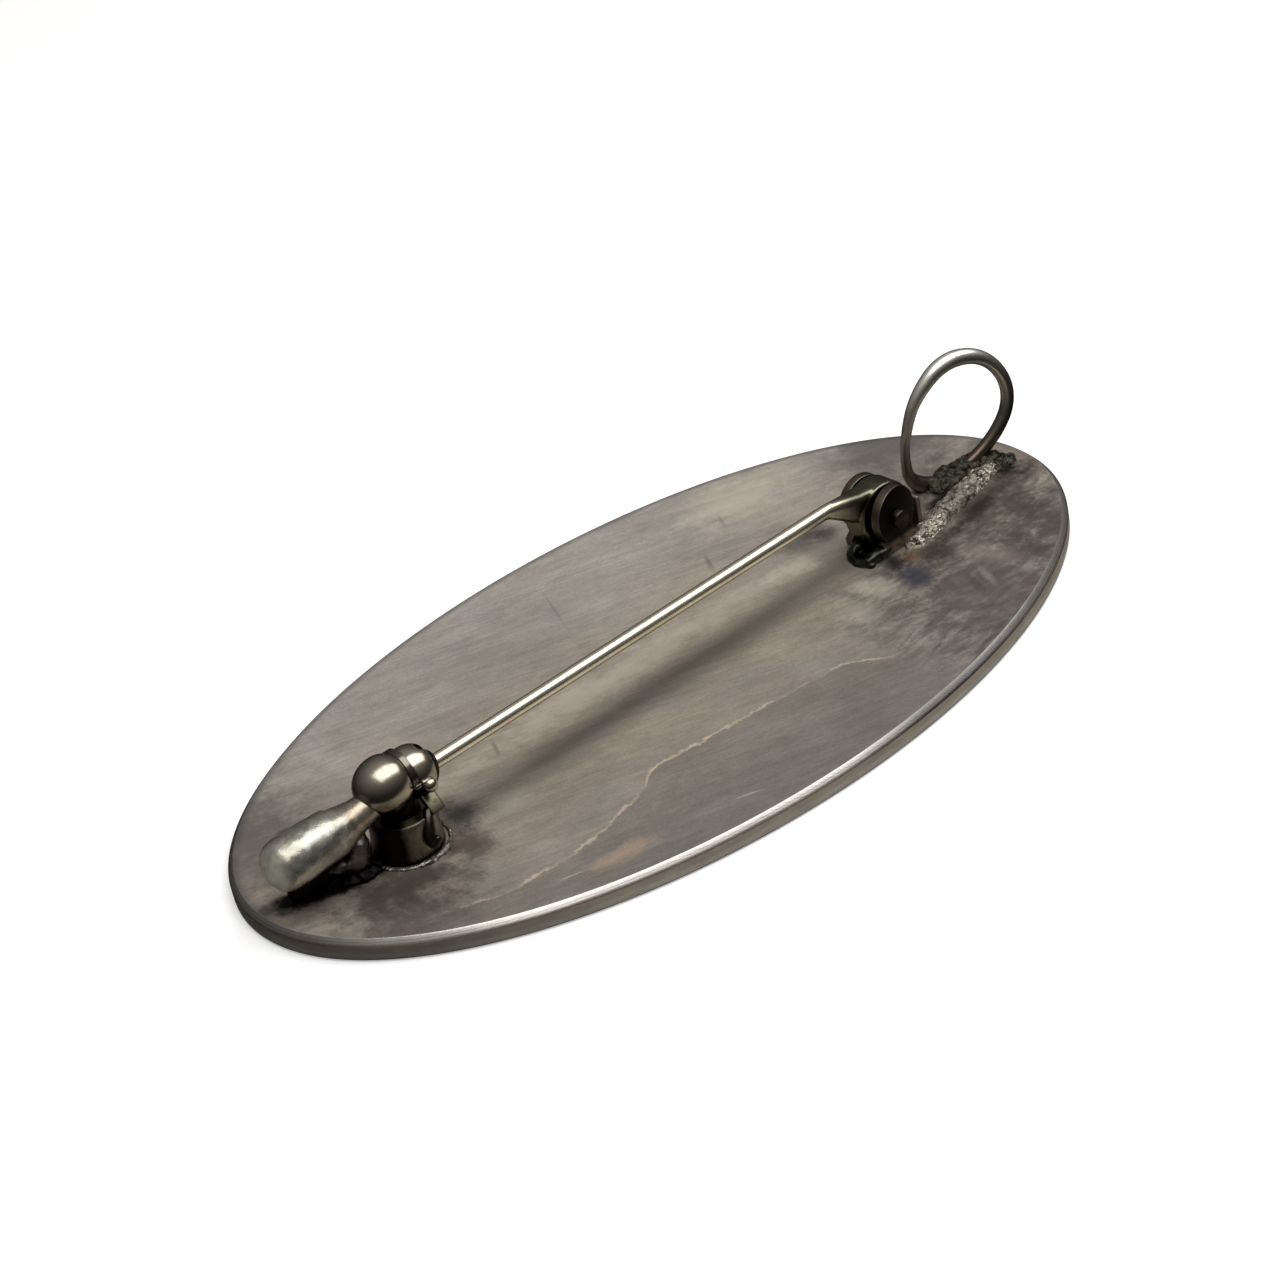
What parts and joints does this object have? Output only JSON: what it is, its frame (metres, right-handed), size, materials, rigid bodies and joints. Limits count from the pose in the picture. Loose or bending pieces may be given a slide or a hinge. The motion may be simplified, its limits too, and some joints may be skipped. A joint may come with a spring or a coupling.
{
  "type": "pendant brooch",
  "caption": "Oval silver pendant brooch lying face down, with a hinged pin stem, a ball catch with a turning hood, an end tube and a wire bail on its back.",
  "frame": {"origin": "centre of the oval on the flat front face, on the surface that the brooch lies on", "axes": "+Z out of the back, +Y along the long axis towards the bail, +X to the right when the back is seen with the bail at the top"},
  "size_m": [0.0396, 0.07, 0.0114],
  "materials": {
    "tarnished_silver": "fine brushed silver with warm grey tarnish",
    "nickel_silver": "drawn wire, satin to bright",
    "dark_silver": "polished with dark tarnish in the recesses"
  },
  "bodies": {
    "brooch": {"back_plate": "tarnished_silver", "hinge_rivet": "nickel_silver"},
    "stem": {"pin_stem": "nickel_silver"},
    "hood": {"catch_hood": "dark_silver"}
  },
  "joints": [
    {"name": "stem_swing", "type": "hinge", "parent": "brooch", "child": "stem", "pos_m": [0.0013, 0.0201, 0.0041], "axis": [-0.9999, -0.0126, 0], "range_deg": [0, 90]},
    {"name": "catch_turn", "type": "hinge", "parent": "brooch", "child": "hood", "pos_m": [0.00183, -0.0223, 0.00645], "axis": [0.0126, -0.9999, 0], "range_deg": [0, 120]}
  ]
}
